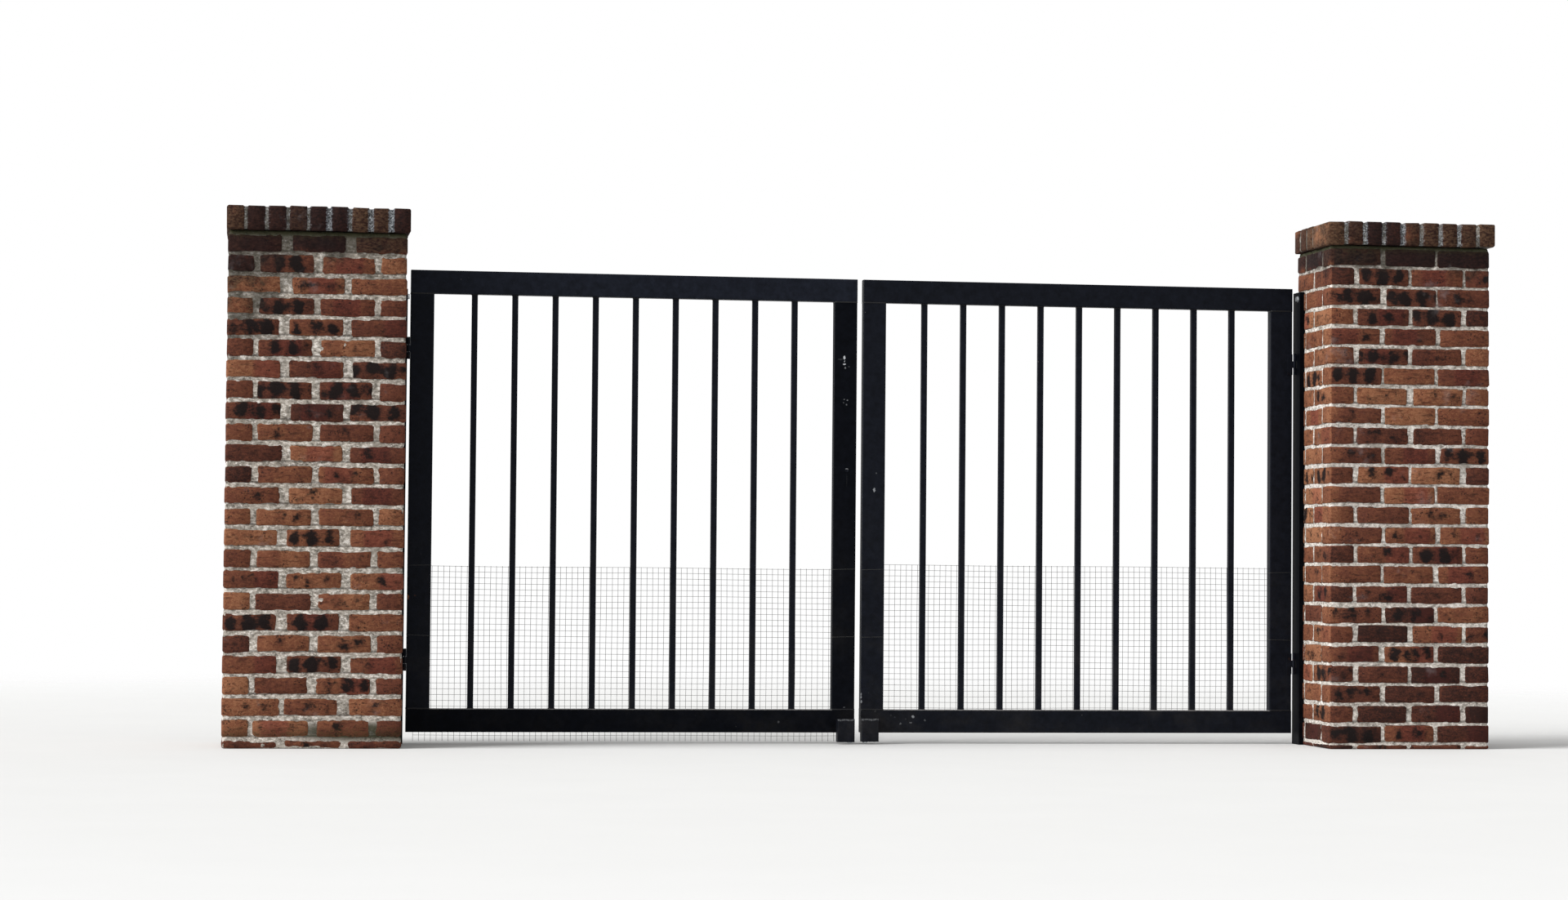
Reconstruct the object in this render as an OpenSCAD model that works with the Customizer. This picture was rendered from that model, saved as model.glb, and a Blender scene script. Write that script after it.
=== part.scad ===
// A pair of driveway gate leaves of painted steel tube, hung between two brick piers.
// X runs along the gate, +Y away from the viewer and Z up. The origin is on the ground,
// midway between the piers and on their centre line. All sizes are in millimetres.

/* [Leaves] */
// Width of one leaf
leaf_w = 1940; // [1400:10:2400]
// Height of one leaf, from the underside of its bottom rail
leaf_h = 1975; // [1200:5:2400]
// Air under the bottom rail
ground_gap = 48; // [30:1:120]
// Gap between the two meeting stiles
leaf_gap = 28; // [15:1:60]
// Face width of the rails and stiles
member_w = 100; // [60:5:150]
// Depth of the rails and stiles, front to back
member_d = 50; // [40:5:75]
// Outer corner radius of the tube
member_r = 5; // [2:0.5:10]

/* [Pickets] */
// Number of pickets in one leaf
picket_count = 9; // [5:1:15]
// Side of the square pickets
picket_w = 25; // [16:1:40]
// Corner radius of the pickets
picket_r = 2; // [1:0.5:4]

/* [Piers] */
// Width of the left shaft, along the gate
left_pier_w = 735; // [350:5:960]
// Width of the right shaft, along the gate
right_pier_w = 720; // [350:5:960]
// Depth of a pier, front to back
pier_d = 470; // [350:10:720]
// How far the left shaft rises above the top of the leaf
left_pier_rise = 112; // [40:1:400]
// How far the right shaft rises above the top of the leaf
right_pier_rise = 159; // [40:1:400]
// Height of the cap of bricks on edge
cap_h = 104; // [90:1:230]
// How far a cap stands out past the front, back and inner side of its shaft
cap_overhang = 12.5; // [0:0.5:40]
// How far the left cap stands out past the outer side of its shaft
left_cap_reach = 8.5; // [0:0.5:40]
// How far the right cap stands out past the outer side of its shaft
right_cap_reach = 23.5; // [0:0.5:40]

/* [Hanging plates] */
// Thickness of the flat bar on each pier
plate_t = 20; // [8:1:30]
// Depth of the flat bar, front to back
plate_d = 100; // [60:5:150]
// How far the left bar stops short of the top of the leaf
left_plate_drop = 88; // [0:1:150]
// How far the right bar stops short of the top of the leaf
right_plate_drop = 18; // [0:1:150]
// Gap between the flat bar and the hinge stile
hang_gap = 16; // [14:1:40]

/* [Hinges] */
// Height of a hinge over its three knuckles
hinge_h = 92; // [60:1:150]
// Height of the middle of the lower hinge above the underside of the leaf
lower_hinge_rise = 307; // [200:1:500]
// Depth of the middle of the upper hinge below the top of the leaf
upper_hinge_drop = 338; // [200:1:500]

/* [Mesh] */
// Height of the left mesh
left_mesh_h = 750; // [300:10:1200]
// Height of the right mesh
right_mesh_h = 730; // [300:10:1200]
// Height of the left mesh's lower edge above the ground
left_mesh_z = 8; // [5:1:100]
// Height of the right mesh's lower edge above the ground
right_mesh_z = 50; // [5:1:100]
// Spacing of the mesh's main wires
mesh_pitch = 75; // [50:5:150]
// Thickness of a mesh wire
mesh_wire = 2.5; // [1.5:0.5:4]

/* [Foot blocks] */
// Width of the block at the foot of a meeting stile
block_w = 75; // [40:5:100]
// How far the block stands out in front of the leaf
block_d = 50; // [25:5:75]
// Height of the block
block_h = 100; // [60:5:200]
// Air under the left block
left_block_gap = 9; // [8:1:40]
// Air under the right block
right_block_gap = 11; // [8:1:40]
// How far the left block stands back from the meeting edge of its leaf
left_block_in = 6; // [-4:1:20]
// How far the right block stands back from the meeting edge of its leaf
right_block_in = -3; // [-4:1:20]

/* [Hidden] */

// Round surfaces are drawn fine enough to count as true circles
$fn = 48;

// Each piece is drawn on the right, and one for the left is its mirror image
left = 1;
right = -1;

// Piers
half_opening = leaf_gap / 2 + leaf_w + hang_gap + plate_t;
left_pier_h = ground_gap + leaf_h + left_pier_rise;
right_pier_h = ground_gap + leaf_h + right_pier_rise;

// Leaf planes: the back of the mesh lies in the plane of the back of the caps
leaf_back = pier_d / 2 + cap_overhang - mesh_wire;
leaf_front = leaf_back - member_d;
leaf_bottom = ground_gap;
leaf_top = ground_gap + leaf_h;
leaf_outer = leaf_gap / 2 + leaf_w;
rail_top_z = leaf_top - member_w;
rail_bottom_z = leaf_bottom + member_w;
stile_h = leaf_h - 2 * member_w;

// Pickets share the width between the stiles evenly
picket_span = leaf_w - 2 * member_w;
picket_step = picket_span / (picket_count + 1);

// Hanging plates end flush with the back of the piers
plate_back = pier_d / 2;
plate_front = plate_back - plate_d;
plate_inner = half_opening - plate_t;
left_plate_h = leaf_top - left_plate_drop;
right_plate_h = leaf_top - right_plate_drop;

// Hinges: the axis is mid-gap and stands in front of the leaf
axis_x = leaf_outer + hang_gap / 2;
axis_forward = hang_gap / 2;
axis_y = leaf_front - axis_forward;
lower_hinge_z = leaf_bottom + lower_hinge_rise;
upper_hinge_z = leaf_top - upper_hinge_drop;
knuckle_clear = 1.5;
knuckle_d = hang_gap - 2 * knuckle_clear;
pin_d = round(0.6 * knuckle_d);
knuckle_gap = 1;
knuckle_h = (hinge_h - 2 * knuckle_gap) / 3;
pin_clearance = 0.05;
pin_head_d = pin_d + 3;
pin_head_h = 3;
wing_w = 22;
wing_t = axis_forward - pin_d / 2 - 0.5;
weld_pad_d = 8;

// Anchor bolts of the hanging plates
bolt_d = 12;
bolt_below_top = 30;
bolt_from_front = 32;
bolt_head_af = 19;
bolt_head_h = 7;
washer_d = 26;
washer_t = 2;
bolt_in_pier = 90;
bolt_clearance = 0.5;
bolt_snug = 0.05;

// Mesh: whole pitches that fit within the leaf, the upright wires against the stiles
mesh_across = floor(leaf_w / mesh_pitch);
mesh_w = mesh_across * mesh_pitch;
mesh_left_x = leaf_gap / 2 + (leaf_w - mesh_w) / 2;

// Foot pins
foot_pin_d = 12;
foot_pin_gap = 4;
foot_pin_in = 18;
foot_nut_d = 22;
foot_nut_h = 4;

// A tube section drawn as squares and circles, so that its corners stay exact
module rounded_section(w, d, r) {
    translate([r, 0]) square([w - 2 * r, d]);
    translate([0, r]) square([w, d - 2 * r]);
    for (x = [r, w - r], y = [r, d - r]) translate([x, y]) circle(r = r);
}

// An upright bar whose corner nearest the origin is at x, y and z
module upright_bar(x, y, z, w, d, h, r) {
    translate([x, y, z]) linear_extrude(height = h) rounded_section(w, d, r);
}

// A level bar along X, with its rounded section in the YZ plane
module level_bar(x, y, z, length, d, h, r) {
    translate([x, y, z])
    rotate([90, 0, 90])
    linear_extrude(height = length)
    rounded_section(d, h, r);
}

// Puts a piece drawn on the right on its own side
module on_side(side) {
    if (side == left) mirror([1, 0, 0]) children();
    else children();
}

module anchor_axis(plate_h) {
    translate([plate_inner, plate_front + bolt_from_front, plate_h - bolt_below_top])
    rotate([0, 90, 0])
    children();
}

// Brick shaft, drilled for the plate's anchor bolt
module pier(side, pier_w, pier_h, plate_h) {
    color("firebrick") on_side(side) difference() {
        translate([half_opening, -pier_d / 2, 0]) cube([pier_w, pier_d, pier_h]);
        anchor_axis(plate_h)
        translate([0, 0, plate_t])
        cylinder(r = bolt_d / 2 + bolt_snug, h = 2 * bolt_in_pier, center = true);
    }
}

// Cap of bricks on edge
module pier_cap(side, pier_w, pier_h, reach) {
    color("indianred") on_side(side)
    translate([half_opening - cap_overhang, -pier_d / 2 - cap_overhang, pier_h])
    cube([pier_w + cap_overhang + reach, pier_d + 2 * cap_overhang, cap_h]);
}

// Flat bar on the pier's inner face, down to the ground
module hanging_plate(side, plate_h) {
    color("dimgray") on_side(side) difference() {
        translate([plate_inner, plate_front, 0]) cube([plate_t, plate_d, plate_h]);
        anchor_axis(plate_h)
        cylinder(r = bolt_d / 2 + bolt_clearance, h = 4 * plate_t, center = true);
    }
}

// Hexagon head, washer and shank of the plate's anchor bolt
module plate_bolt(side, plate_h) {
    color("silver") on_side(side) anchor_axis(plate_h) {
        cylinder(r = bolt_d / 2, h = plate_t + bolt_in_pier);
        translate([0, 0, -washer_t]) cylinder(r = washer_d / 2, h = washer_t);
        translate([0, 0, -washer_t - bolt_head_h])
        cylinder(r = bolt_head_af / sqrt(3), h = bolt_head_h, $fn = 6);
    }
}

// Two outer knuckles on one pin, each welded to the hanging plate
module hinge_fixed(side, mid_z) {
    color("gray") on_side(side) translate([axis_x, axis_y, mid_z]) {
        for (end = [-1, 1]) {
            translate([0, 0, end * (knuckle_h + knuckle_gap)])
            cylinder(r = knuckle_d / 2, h = knuckle_h, center = true);
            translate([0, -weld_pad_d / 2, end * (knuckle_h + knuckle_gap) - knuckle_h / 2])
            cube([hang_gap / 2, weld_pad_d, knuckle_h]);
        }
        cylinder(r = pin_d / 2, h = hinge_h, center = true);
        translate([0, 0, hinge_h / 2]) cylinder(r = pin_head_d / 2, h = pin_head_h);
    }
}

// Middle knuckle with a wing welded to the face of the hinge stile
module hinge_moving(side, mid_z) {
    color("slategray") on_side(side) translate([axis_x, axis_y, mid_z]) {
        difference() {
            union() {
                cylinder(r = knuckle_d / 2, h = knuckle_h, center = true);
                translate([-hang_gap / 2 - wing_w / 2, axis_forward - wing_t, -knuckle_h / 2])
                cube([hang_gap / 2 + wing_w / 2, wing_t, knuckle_h]);
                translate([-hang_gap / 2 - wing_w, axis_forward - wing_t, -hinge_h / 2])
                cube([wing_w, wing_t, hinge_h]);
            }
            cylinder(r = pin_d / 2 + pin_clearance, h = 2 * hinge_h, center = true);
        }
    }
}

// Level tube along the whole width of a leaf
module rail(side, z) {
    color("darkslategray") on_side(side)
    level_bar(leaf_gap / 2, leaf_front, z, leaf_w, member_d, member_w, member_r);
}

// Upright tube between the rails
module stile(side, x) {
    color("darkslategray") on_side(side)
    upright_bar(x, leaf_front, rail_bottom_z, member_w, member_d, stile_h, member_r);
}

// Nine square bars between the rails, centred in their depth
module pickets(side) {
    first_x = leaf_gap / 2 + member_w - picket_w / 2;
    picket_y = leaf_front + (member_d - picket_w) / 2;
    color("black") on_side(side)
    for (i = [1 : picket_count])
        upright_bar(first_x + i * picket_step, picket_y, rail_bottom_z,
                    picket_w, picket_w, stile_h, picket_r);
}

// Main wires of the welded mesh on the back of the lower part of a leaf
module mesh(side, bottom, height) {
    rows = round(height / mesh_pitch);
    color("gray") on_side(side)
    translate([mesh_left_x - mesh_wire / 2, leaf_back, bottom]) {
        for (i = [0 : mesh_across])
            translate([i * mesh_pitch, 0, 0])
            cube([mesh_wire, mesh_wire, height]);
        for (j = [0 : rows])
            translate([0, 0, j * (height - mesh_wire) / rows])
            cube([mesh_w + mesh_wire, mesh_wire, mesh_wire]);
    }
}

// Box on the front of the leaf at the foot of its meeting stile
module foot_block(side, inset, gap) {
    color("black") on_side(side)
    upright_bar(leaf_gap / 2 + inset, leaf_front - block_d, gap,
                block_w, block_d, block_h, member_r);
}

// Bright rod end with its nut, under the foot block
module foot_pin(side, inset, gap) {
    color("silver") on_side(side)
    translate([leaf_gap / 2 + inset + foot_pin_in, leaf_front - block_d / 2, foot_pin_gap]) {
        cylinder(r = foot_pin_d / 2, h = gap - foot_pin_gap);
        translate([0, 0, gap - foot_pin_gap - foot_nut_h])
        cylinder(r = foot_nut_d / 2, h = foot_nut_h, $fn = 6);
    }
}

pier(left, left_pier_w, left_pier_h, left_plate_h);  // left_pier
pier_cap(left, left_pier_w, left_pier_h, left_cap_reach);  // left_pier_cap
pier(right, right_pier_w, right_pier_h, right_plate_h);  // right_pier
pier_cap(right, right_pier_w, right_pier_h, right_cap_reach);  // right_pier_cap
hanging_plate(left, left_plate_h);  // left_hanging_plate
hanging_plate(right, right_plate_h);  // right_hanging_plate
plate_bolt(left, left_plate_h);  // left_plate_bolt
plate_bolt(right, right_plate_h);  // right_plate_bolt
hinge_fixed(left, upper_hinge_z);  // left_upper_hinge_fixed
hinge_fixed(left, lower_hinge_z);  // left_lower_hinge_fixed
hinge_fixed(right, upper_hinge_z);  // right_upper_hinge_fixed
hinge_fixed(right, lower_hinge_z);  // right_lower_hinge_fixed
rail(left, rail_top_z);  // left_top_rail
rail(left, leaf_bottom);  // left_bottom_rail
stile(left, leaf_outer - member_w);  // left_hinge_stile
stile(left, leaf_gap / 2);  // left_meeting_stile
pickets(left);  // left_pickets
mesh(left, left_mesh_z, left_mesh_h);  // left_mesh
foot_block(left, left_block_in, left_block_gap);  // left_foot_block
foot_pin(left, left_block_in, left_block_gap);  // left_foot_pin
hinge_moving(left, upper_hinge_z);  // left_upper_hinge_moving
hinge_moving(left, lower_hinge_z);  // left_lower_hinge_moving
rail(right, rail_top_z);  // right_top_rail
rail(right, leaf_bottom);  // right_bottom_rail
stile(right, leaf_outer - member_w);  // right_hinge_stile
stile(right, leaf_gap / 2);  // right_meeting_stile
pickets(right);  // right_pickets
mesh(right, right_mesh_z, right_mesh_h);  // right_mesh
foot_block(right, right_block_in, right_block_gap);  // right_foot_block
foot_pin(right, right_block_in, right_block_gap);  // right_foot_pin
hinge_moving(right, upper_hinge_z);  // right_upper_hinge_moving
hinge_moving(right, lower_hinge_z);  // right_lower_hinge_moving
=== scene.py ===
import math
from types import SimpleNamespace

import bpy
import numpy as np
from mathutils import Matrix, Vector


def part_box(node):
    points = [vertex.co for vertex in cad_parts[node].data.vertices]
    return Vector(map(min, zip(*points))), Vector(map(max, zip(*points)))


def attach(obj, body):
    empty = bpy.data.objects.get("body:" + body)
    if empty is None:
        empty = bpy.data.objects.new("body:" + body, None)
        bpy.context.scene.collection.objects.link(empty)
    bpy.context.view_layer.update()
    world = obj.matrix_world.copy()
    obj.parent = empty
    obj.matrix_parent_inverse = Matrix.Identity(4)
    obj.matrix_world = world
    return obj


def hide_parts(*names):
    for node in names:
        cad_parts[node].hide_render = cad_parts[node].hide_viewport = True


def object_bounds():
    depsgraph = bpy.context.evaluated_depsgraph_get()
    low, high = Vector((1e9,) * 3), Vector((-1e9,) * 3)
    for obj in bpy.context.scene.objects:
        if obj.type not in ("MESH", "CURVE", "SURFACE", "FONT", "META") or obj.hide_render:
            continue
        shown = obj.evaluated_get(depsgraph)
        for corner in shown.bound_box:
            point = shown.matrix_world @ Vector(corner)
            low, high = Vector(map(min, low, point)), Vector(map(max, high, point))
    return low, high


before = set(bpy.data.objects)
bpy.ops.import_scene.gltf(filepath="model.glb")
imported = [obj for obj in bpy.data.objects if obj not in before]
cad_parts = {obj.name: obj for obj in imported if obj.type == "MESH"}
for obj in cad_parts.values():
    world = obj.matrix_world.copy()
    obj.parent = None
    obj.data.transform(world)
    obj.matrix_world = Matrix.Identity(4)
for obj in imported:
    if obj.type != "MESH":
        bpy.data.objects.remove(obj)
cad_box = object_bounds()
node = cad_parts


# Shafts of the two piers: tumbled clay bricks, about 233 by 110 by 78 mm, on beds of 8 to 9 mm.
# The courses take turns. One has three bricks along the front, the next has two between corner bricks
# that run front to back, which breaks the upright joints.
sides = ("left", "right")
brick_length, brick_width, brick_height = 0.233, 0.110, 0.078
half_width, half_depth = 0.360, 0.235
turned_length, pitch, beside_turned = 0.230, 0.245, 0.1217
top_bed, side_skin, joint_reach = 0.012, 0.008, 0.012

# What each shaft has of its own. cut is the range that its lengthways bricks fall short by, drab how much
# the tone darkens away from chest height, and the last how much paler its inner side is drawn, as painted
# light.
shaft = {
    "left": dict(rise=0.0870, arris=0.0105, cut=(0.000, 0.016), tone=0.15, drab=0.0, scorched=0.16,
                 top_grime=0.60, foot_green=0.85, painted_side_light=0.0),
    "right": dict(rise=0.0861, arris=0.0085, cut=(-0.007, 0.006), tone=0.19, drab=0.32, scorched=0.28,
                  top_grime=0.45, foot_green=0.25, painted_side_light=0.32),
}

# The bricks of a course: the middle of each sideways and front to back, 1 if it is turned, and its length.
face_y, end_x = half_depth - brick_width / 2, half_width - brick_width / 2
turned_y = half_depth - turned_length / 2
three_along = [(x, y, 0, brick_length) for y in (-face_y, face_y) for x in (-pitch, 0.0, pitch)]
three_along += [(x, 0.0, 1, brick_length) for x in (-end_x, end_x)]
two_along = [(x, y, 1, turned_length) for y in (-turned_y, turned_y) for x in (-end_x, end_x)]
two_along += [(x, y, 0, brick_length) for y in (-face_y, face_y) for x in (-beside_turned, beside_turned)]
upright = np.eye(3)
side_on = np.array([[0.0, -1, 0], [1, 0, 0], [0, 0, 1]])

# Bricks of the fronts that are scorched right across: the course of each from the top, and its middle.
black_bricks = {
    "left": [(2, -0.12), (3, 0.12), (4, -0.12), (5, -0.245), (7, 0.245), (8, -0.12), (8, 0.12), (9, -0.245),
             (9, 0.245), (19, -0.245), (21, 0.0), (23, -0.12)],
    "right": [(1, -0.245), (2, -0.12), (3, -0.245), (3, 0.0), (4, 0.12), (6, -0.12), (7, -0.245), (14, 0.0),
              (15, 0.12), (18, 0.0), (20, 0.245), (21, 0.12), (22, -0.245), (23, -0.12)],
}
rng = np.random.default_rng(4)


class Finish:
    """A material made of nodes. add() puts one node in and gives one of its outputs; the other calls are
    short forms of it."""

    def __init__(self, name, **sockets):
        self.made = bpy.data.materials.new(name)
        self.made.use_nodes = True
        self.tree = self.made.node_tree
        self.shader = self.tree.nodes["Principled BSDF"]
        for socket, value in sockets.items():
            self.shader.inputs[socket.replace("_", " ")].default_value = value
        self.here = self.add("TexCoord", out="Object")
        self.up = self.add("SeparateXYZ", {0: self.here}, out=2)

    def add(self, kind, ins=None, out=0, **settings):
        made = self.tree.nodes.new("ShaderNode" + kind)
        for key, value in settings.items():
            setattr(made, key, value)
        for key, value in (ins or {}).items():
            if isinstance(value, bpy.types.NodeSocket):
                self.tree.links.new(value, made.inputs[key])
            else:
                made.inputs[key].default_value = value
        return made.outputs[out]

    def kept(self, name, out="Color"):
        """The values that put_piece kept at the points under this name."""
        return self.add("Attribute", out=out, attribute_name=name)

    def parts(self, kind, whole):
        """The parts of a colour or a place, by the kind of node that takes it apart."""
        return self.add(kind, {0: whole}).node.outputs

    def calc(self, operation, a, b=0.0):
        """Two numbers joined by one operation, under the name that Blender has for it."""
        return self.add("Math", {0: a, 1: b}, operation=operation)

    def times(self, a, b):
        return self.calc("MULTIPLY", a, b)

    def plus(self, total, *others):
        for other in others:
            total = self.calc("ADD", total, other)
        return total

    def swing(self, noise, size):
        """A noise that runs from 0 to 1, moved to lie about 0 and made size wide."""
        return self.times(self.calc("SUBTRACT", noise, 0.5), size)

    def vector(self, operation, a, b):
        """The same for two vectors, value by value."""
        return self.add("VectorMath", {0: a, 1: b}, operation=operation)

    def length(self, vector):
        """The root of the sum of a vector's squares."""
        return self.add("VectorMath", {0: vector}, out="Value", operation="LENGTH")

    def noise(self, scale, detail=3.0, rough=0.55, at=None):
        """Noise about 0.5: the sum of detail layers, each twice as fine and rough times as strong."""
        ins = {"Vector": at or self.here, "Scale": scale, "Detail": detail, "Roughness": rough}
        return self.add("TexNoise", ins)

    def drift(self, scale, detail):
        """A noise with three values, to move a place by."""
        return self.add("TexNoise", {"Vector": self.here, "Scale": scale, "Detail": detail}, out="Color")

    def cells(self, scale, out="Distance", at=None):
        """How far the nearest of many scattered points is, or a colour of its own round each point."""
        return self.add("TexVoronoi", {"Vector": at or self.here, "Scale": scale}, out=out)

    def level(self, value, low, high):
        """0 where the value is low, 1 where it is high, and a smooth step between; low may be the greater."""
        ins = {"Value": value, "From Min": low, "From Max": high}
        return self.add("MapRange", ins, interpolation_type="SMOOTHSTEP")

    def between(self, value, low, high):
        """A value that runs from 0 to 1, moved to run from low to high."""
        return self.add("MapRange", {"Value": value, "To Min": low, "To Max": high})

    def mix(self, share, a, b):
        """Colour a where the share is 0, b where it is 1, and a straight mix of both between."""
        wide = [c + (1.0,) if isinstance(c, tuple) else c for c in (a, b)]
        return self.add("Mix", {0: share, 6: wide[0], 7: wide[1]}, out=2, data_type="RGBA")

    def stain(self, colour, where, strength, over):
        """The colour with another one over it where `where` is 1, as strong as said."""
        return self.mix(self.times(where, strength), colour, over)

    def ramp(self, value, *stops):
        """The colour at a value, on straight lines between stops of a value and a colour."""
        out = self.add("ValToRGB", {0: value})
        marks = out.node.color_ramp.elements
        while len(marks) < len(stops):
            marks.new(0.5)
        for mark, (place, colour) in zip(marks, stops):
            mark.position, mark.color = place, colour + (1.0,)
        return out

    def finish(self, colour, rough, *relief):
        """Joins colour and roughness to the shader; relief is pairs of a height from 0 to 1 and its depth
        in metres."""
        normal = None
        for height, depth in relief:
            ins = {"Height": height, "Distance": depth, "Strength": 1.0}
            if normal:
                ins["Normal"] = normal
            normal = self.add("Bump", ins)
        self.tree.links.new(colour, self.shader.inputs["Base Color"])
        if isinstance(rough, bpy.types.NodeSocket):
            self.tree.links.new(rough, self.shader.inputs["Roughness"])
        else:
            self.shader.inputs["Roughness"].default_value = rough
        if normal:
            self.tree.links.new(normal, self.shader.inputs["Normal"])
        return self.made


def put_piece(name, points, faces, material, body, slot, stands_for=(), **kept):
    """A piece from an array of points and a list of face arrays, one for each number of corners; kept are
    values held at its points, one, three or four to a point."""
    mesh = bpy.data.meshes.new(name)
    corners = np.concatenate([f.ravel() for f in faces]).astype(np.int32)
    sizes = np.concatenate([np.full(len(f), f.shape[1]) for f in faces])
    mesh.vertices.add(len(points))
    mesh.vertices.foreach_set("co", np.asarray(points, np.float32).ravel())
    mesh.loops.add(len(corners))
    mesh.loops.foreach_set("vertex_index", corners)
    mesh.polygons.add(len(sizes))
    mesh.polygons.foreach_set("loop_start", (np.cumsum(sizes) - sizes).astype(np.int32))
    mesh.update(calc_edges=True)
    mesh.validate()
    mesh.polygons.foreach_set("use_smooth", np.ones(len(mesh.polygons), bool))
    kinds = {1: ("FLOAT", "value"), 3: ("FLOAT_VECTOR", "vector"), 4: ("FLOAT_COLOR", "color")}
    for key, values in kept.items():
        kind, field = kinds[values.shape[1]]
        held = mesh.attributes.new(key, kind, "POINT").data
        held.foreach_set(field, values.astype(np.float32).ravel())
    mesh.materials.append(material)
    piece = bpy.data.objects.new(name, mesh)
    bpy.context.scene.collection.objects.link(piece)
    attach(piece, body)
    if stands_for:
        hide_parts(*stands_for)
    return piece


def held_together(*values):
    """Three values at each point, put together as a colour, whose fourth value is 1."""
    return np.stack(np.broadcast_arrays(*values, 1.0), -1)


def bump(value, middle, width):
    """A rounded bump: e to the power of minus the square of the distance from its middle over its width."""
    return np.exp(-((value - middle) / width) ** 2)


def box_net(nx, ny, nz):
    """The skin of a box of nx by ny by nz cells: for each point its place from -1 to 1 between the first and
    last inner lines and its direction outwards, and the faces, each of four neighbouring points."""
    counts = (nx, ny, nz)
    grid = np.stack(np.meshgrid(*[np.arange(n + 1) for n in counts], indexing="ij"), -1)
    outer = (grid == counts).astype(int) - (grid == 0)
    skin = np.abs(outer).any(-1)
    number = np.full(skin.shape, -1)
    number[skin] = np.arange(skin.sum())
    inner = np.clip((grid - 1) / (np.array(counts) - 2) * 2 - 1, -1, 1)[skin]
    out = outer[skin] / np.linalg.norm(outer[skin], axis=1, keepdims=True)

    def side(a):
        """The faces of one side, each from four neighbours in its grid of point numbers."""
        return np.stack([a[:-1, :-1], a[1:, :-1], a[1:, 1:], a[:-1, 1:]], -1).reshape(-1, 4)

    outward = [side(number[-1]), side(number[:, 0]), side(number[..., -1])]
    inward = [side(number[0]), side(number[:, -1]), side(number[..., 0])]
    pairs = [face for there, back in zip(outward, inward) for face in (there, back[:, ::-1])]
    return inner, out, np.concatenate(pairs)


def lay_bricks(piece_name, pier_node, slot, place, turn, size, lot, arris, marks):
    """One mesh of many bricks. A brick is a box net whose points lie at the smaller inner box plus the arris
    radius along their outward direction, less a random wear that is most at edges and corners. Each brick
    is dented by its own random numbers, then leant, turned and moved to its bed. marks gives the grime,
    the damp and the pale growth at the points."""
    inner, out, faces = box_net(5, 3, 3)
    count, points = len(place), len(inner)
    size_spread, shift_spread = (0.0006, 0.0004, 0.0015), (0.0003, 0.0003, 0.0012)
    lean_spread = (0.004, 0.006, 0.002)
    usual_wear, corner_wear, dent, edge_dent = 0.0007, 0.0024, 0.0003, 0.0009
    roundest, worn_faces, outer_arrises = 0.42, 0.3, 0.25
    half = (size + rng.normal(0, size_spread, (count, 3)))[:, None, :] / 2
    largest = roundest * size.min(1)[:, None, None]
    soft = np.minimum(arris * rng.uniform(0.85, 1.25, (count, 1, 1)), largest)
    facing = (np.abs(out) > 0.01).sum(1)
    edge = facing > 1
    wear = rng.exponential(usual_wear, (count, points, 1)) * np.where(edge, 1.0, worn_faces)[:, None]
    wear = wear + corner_wear * (facing == 3)[:, None]
    own = (half - soft) * inner + (soft - wear) * out
    own = own + rng.normal(0, dent, own.shape) + edge[None, :, None] * rng.normal(0, edge_dent, own.shape)
    lean = rng.normal(0, lean_spread, (count, 1, 3))
    laid = own + np.cross(np.broadcast_to(lean, own.shape), own)
    laid = np.einsum("bij,bpj->bpi", turn, laid) + place[:, None, :]
    laid = laid + rng.normal(0, shift_spread, (count, 1, 3))
    flat = np.clip(laid, cad_box[0], cad_box[1]).reshape(-1, 3)
    all_faces = (faces[None] + points * np.arange(count)[:, None, None]).reshape(-1, 4)

    # Arrises lie in the joints, but are mostly bare along the outer edges, near two sides of the node's box.
    low, high = (np.array(corner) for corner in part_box(pier_node))
    outside = (np.abs(flat - (low + high) / 2) > (high - low) / 2 - joint_reach).sum(1)
    jointed = np.tile(edge, count) * np.where(outside > 1, outer_arrises, 1.0)
    grime, damp, crust = marks(flat)
    return put_piece(piece_name, flat, [all_faces], brick_clay, "gateway", slot, [pier_node],
                     lay=own.reshape(-1, 3), lot=held_together(*np.repeat(lot, points, 0).T),
                     state=held_together(jointed, grime, damp), crust=crust[:, None])


def fired_colour(clay, brick):
    """The tone picks a colour between brown and orange. Many bricks were flashed crimson in a band across
    them, about a middle of their own. The tone is the brick's own, shifted by three sizes of noise, paler
    where it is rubbed, and paler on the inner sides as painted light."""
    flash_at = clay.times(clay.calc("SUBTRACT", brick.chance, 0.75), 0.34)
    from_flash = clay.calc("SUBTRACT", clay.plus(brick.along, clay.swing(brick.ragged, 0.05)), flash_at)
    flashed = clay.level(clay.calc("ABSOLUTE", from_flash), 0.066, 0.046)
    flashed = clay.times(flashed, clay.level(brick.chance, 0.40, 0.50))
    rubbed = clay.times(clay.level(brick.jointed, 0.05, 0.60), 0.13)
    # Painted light: a damp below 0 raises the tone, for the inner sides that are drawn paler.
    painted_lift = clay.calc("MAXIMUM", clay.times(brick.wet, -1.0), 0.0)
    tone = clay.plus(brick.tone, clay.swing(brick.cloud, 0.55), clay.times(flashed, -0.12), rubbed,
                     clay.swing(brick.ragged, 1.05), clay.swing(brick.fine, 1.00), painted_lift)
    colour = clay.ramp(tone, (0.0, (0.026, 0.012, 0.010)), (0.22, (0.070, 0.024, 0.016)),
                       (0.48, (0.120, 0.040, 0.024)), (0.74, (0.182, 0.068, 0.035)),
                       (1.0, (0.286, 0.125, 0.064)))
    crimson = clay.ramp(tone, (0.1, (0.060, 0.016, 0.013)), (0.5, (0.135, 0.034, 0.024)),
                        (1.0, (0.260, 0.075, 0.050)))
    redness = clay.times(clay.level(brick.chance, 0.50, 0.70), 0.62)
    return clay.mix(clay.times(flashed, redness), colour, crimson)


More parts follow.
